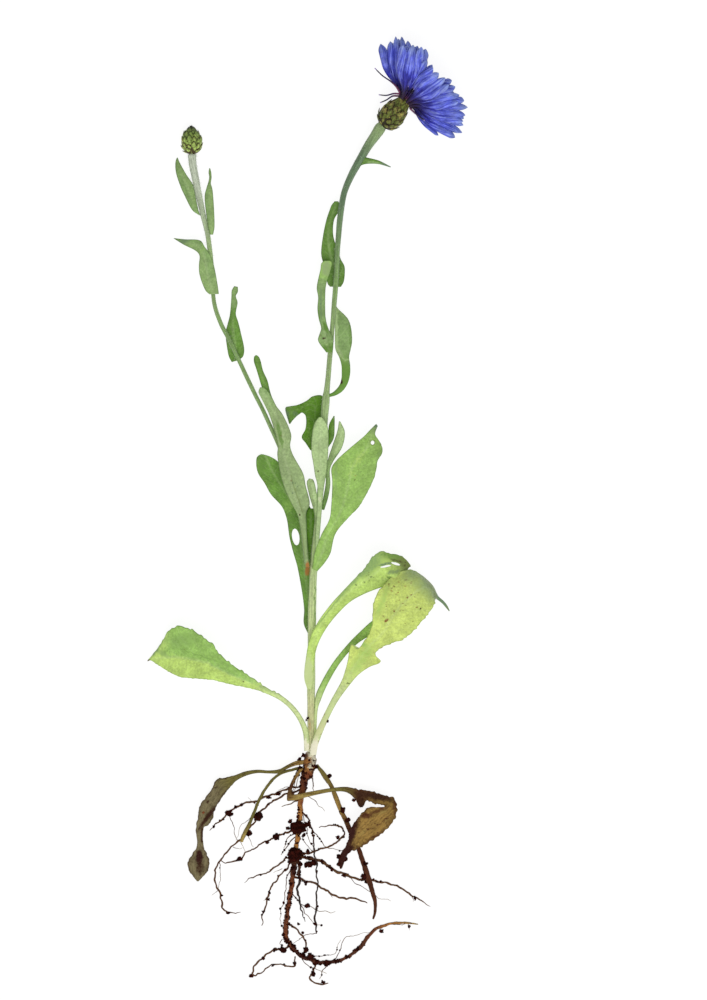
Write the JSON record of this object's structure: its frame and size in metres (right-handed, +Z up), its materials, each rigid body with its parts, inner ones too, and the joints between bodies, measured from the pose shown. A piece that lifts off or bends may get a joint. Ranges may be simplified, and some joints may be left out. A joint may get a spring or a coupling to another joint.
{
  "type": "cornflower plant",
  "caption": "Uprooted cornflower lying flat: curled taproot with soil, withered and fresh leaves, a stalk with a bud and a stalk with a fan of blue florets.",
  "frame": {"origin": "on the table under the middle of the plant's box", "axes": "+Z up from the table, +Y from the roots to the flower, +X to the right of the plant seen from above"},
  "size_m": [0.0948, 0.2818, 0.0143],
  "materials": {
    "leaf_green": "matt, finely hairy",
    "leaf_grey": "matt with a grey woolly bloom",
    "basal_leaf": "matt, soft and slightly translucent",
    "stalk": "matt, ribbed, with white cobweb hairs",
    "withered_leaf": "matt, dry and wrinkled",
    "root_bark": "matt, wrinkled bark",
    "soil": "matt, crumbly",
    "bract": "matt scales with dark fringed edges",
    "ray_floret": "soft sheen",
    "disc_floret": "soft sheen"
  },
  "bodies": {
    "root": {"main_stem": "stalk", "bud_stalk": "stalk", "root_crown": "root_bark", "taproot": "root_bark", "lateral_root_left_1": "root_bark", "lateral_root_left_2": "root_bark", "lateral_root_left_3": "root_bark", "lateral_root_left_4": "root_bark", "lateral_root_left_5": "root_bark", "lateral_root_left_6": "root_bark", "lateral_root_right_1": "root_bark", "lateral_root_right_2": "root_bark", "lateral_root_right_3": "root_bark", "lateral_root_right_4": "root_bark", "lateral_root_right_5": "root_bark", "lateral_root_right_6": "root_bark", "lateral_root_bottom_loop": "root_bark", "soil_clod_upper": "soil", "soil_clod_lower": "soil", "basal_leaf_left": "basal_leaf", "basal_leaf_right": "basal_leaf", "basal_leaf_arching": "basal_leaf", "basal_leaf_middle": "leaf_green", "stem_leaf_dark_left": "leaf_green", "stem_leaf_long_left": "leaf_grey", "stem_leaf_behind_long": "leaf_green", "stem_leaf_centre": "leaf_grey", "side_leaf_small": "leaf_grey", "side_leaf_behind": "leaf_green", "side_leaf_grey": "leaf_grey", "side_leaf_dark": "leaf_green", "stem_leaf_right": "basal_leaf", "stem_leaf_drooping": "leaf_green", "flower_leaf_right": "leaf_grey", "flower_leaf_left_lower": "leaf_grey", "flower_leaf_left_upper": "leaf_green", "flower_leaf_top": "leaf_green", "bud_leaf_upper_left": "leaf_green", "bud_leaf_upper_right": "leaf_green", "bud_leaf_middle": "leaf_green", "bud_leaf_lower": "leaf_green", "withered_leaf_left": "withered_leaf", "withered_leaf_right": "withered_leaf", "dead_petiole_left": "withered_leaf", "dead_petiole_right": "withered_leaf", "flower_involucre": "bract", "bud_involucre": "bract", "disc_florets": "disc_floret", "ray_floret_01": "ray_floret", "ray_floret_02": "ray_floret", "ray_floret_03": "ray_floret", "ray_floret_04": "ray_floret", "ray_floret_05": "ray_floret", "ray_floret_06": "ray_floret", "ray_floret_07": "ray_floret", "ray_floret_08": "ray_floret", "ray_floret_09": "ray_floret", "ray_floret_10": "ray_floret", "ray_floret_11": "ray_floret", "ray_floret_12": "ray_floret"}
  },
  "joints": []
}
